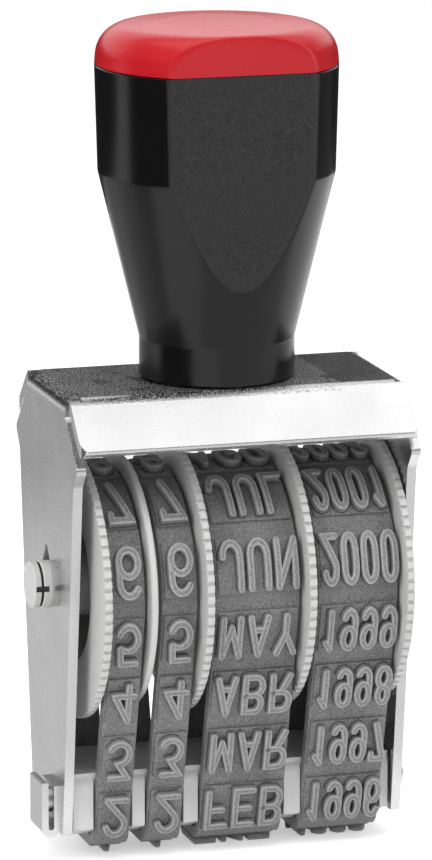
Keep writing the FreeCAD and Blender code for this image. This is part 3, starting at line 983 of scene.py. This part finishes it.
def addStroke(verts, faces, rims, points, closed, lower):
    path = cleanPath(points + [points[0]] if closed else points)
    if closed and (path[0] - path[-1]).length < typeCut["shortest"]:
        path.pop()
    rings = strokeRings(path, closed)
    tipWidth = typeCut["ends"][0][1]
    first = len(verts)
    for here, side, width in rings:
        section = strokeSection(width, lower)
        for offset, height, rim in section:
            verts.append((here.x + side.x * offset, here.y + side.y * offset, height))
            rims.append(1.0 if width == tipWidth and offset == 0 else rim)
    corners = len(section)
    total = len(rings)
    for index in range(total if closed else total - 1):
        low = first + index * corners
        high = first + ((index + 1) % total) * corners
        for corner in range(corners):
            following = (corner + 1) % corners
            faces.append((low + corner, low + following, high + following, high + corner))
    if not closed:
        last = first + (total - 1) * corners
        faces.append(tuple(range(first, first + corners)))
        faces.append(tuple(reversed(range(last, last + corners))))


def splitSharp(points):
    runs = [[points[0]]]
    for before, here, after in zip(points, points[1:], points[2:]):
        runs[-1].append(here)
        into, away = Vector(here) - Vector(before), Vector(after) - Vector(here)
        if into.length > 0 and away.length > 0 and math.degrees(into.angle(away)) > typeCut["sharpest"]:
            runs.append([here])
    runs[-1].append(points[-1])
    return runs


def makeType(name, middle, words, width, spacing):
    verts, faces, rims = [], [], []
    wide = width - 2 * typeCut["topHalf"]
    tall = typeCut["tall"] - 2 * typeCut["topHalf"]
    for station, word in enumerate(words):
        for index, letter in enumerate(word):
            centre = middle + (index - (len(word) - 1) / 2) * spacing
            order = 0
            for stroke in glyphs[letter]:
                closed = stroke[-1] == "closed"
                points = stroke[:-1] if closed else stroke
                placed = [(centre + (x - 0.5) * wide, station * pitch - (y - 0.5) * tall) for x, y in points]
                for run in [placed] if closed else splitSharp(placed):
                    addStroke(verts, faces, rims, run, closed, order * typeCut["stepDown"])
                    order += 1
    mesh = bpy.data.meshes.new(name)
    mesh.from_pydata([(x * mm, y * mm, z * mm) for x, y, z in verts], [], faces)
    mesh.attributes.new("rim", "FLOAT", "POINT").data.foreach_set("value", rims)
    obj = bpy.data.objects.new(name, mesh)
    bpy.context.scene.collection.objects.link(obj)
    layRound(obj)
    pickUp(obj)
    bpy.ops.object.mode_set(mode="EDIT")
    faceOutwards()
    return obj


# the four bands: words from the printing face forwards, and each letter's width and spacing

firstYear = 1995
dayWords = list("1234567890")
monthWords = ["ENE", "FEB", "MAR", "ABR", "MAY", "JUN", "JUL", "AGO", "SEP", "OCT", "NOV", "DIC"]
yearWords = [str(firstYear + station) for station in range(loop["stations"])]
bands = {
    "tens": {"words": dayWords, "width": 2.6, "spacing": 0},
    "units": {"words": dayWords, "width": 2.6, "spacing": 0},
    "month": {"words": monthWords, "width": 2.4, "spacing": 2.95},
    "year": {"words": yearWords, "width": 1.8, "spacing": 2.14},
}


def makeBand(name, band):
    node = name + "_band"
    xLow, xHigh = [corner.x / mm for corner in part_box(node)]
    belt = makeBelt(name + "Belt", xLow, xHigh)
    finishPiece(belt, loop["smooth"], "body", "band_rubber", finishes["band_rubber"], node)
    letters = makeType(name + "Type", (xLow + xHigh) / 2, band["words"], band["width"], band["spacing"])
    finishPiece(letters, loop["smooth"], "body", "band_rubber", typeFinish, node)
    print(name, "band made", len(letters.data.polygons), "faces of type")


for bandName, band in bands.items():
    makeBand(bandName, band)


# right end of the bridge rod: a low round head instead of a clip

rodHead = {
    "sides": 64,
    "turn": 15.0,
    "radius": 1.5,
    "tall": 0.4,
    "footBevel": 0.05,
    "edgeHeight": 0.32,
    "edge": 0.15,
    "flatRadius": 0.5,
    "middleRadius": 0.2,
    "forward": 2.7,
    "height": 6.3,
    "smooth": 30,
}


def makeRodHead(settings):
    radius, tall, bevel = settings["radius"], settings["tall"], settings["footBevel"]
    profile = roundedProfile([
        (radius - bevel, 0, 0),
        (radius, bevel, 0),
        (radius, settings["edgeHeight"], settings["edge"]),
        (settings["flatRadius"], tall, 0),
        (settings["middleRadius"], tall, 0),
    ], settings["turn"])
    obj = turnRings("rodHead", profile, settings["sides"])
    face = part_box("frame")[1].x
    place = Matrix.Translation((face, -settings["forward"] * mm, settings["height"] * mm))
    obj.data.transform(place @ Matrix.Rotation(math.radians(90), 4, "Y"))
    obj.data.update()
    finishPiece(obj, settings["smooth"], "body", "fastener_steel", finishes["fastener_steel"],
                "bridge_clip_right")


makeRodHead(rodHead)
print("rod head made")
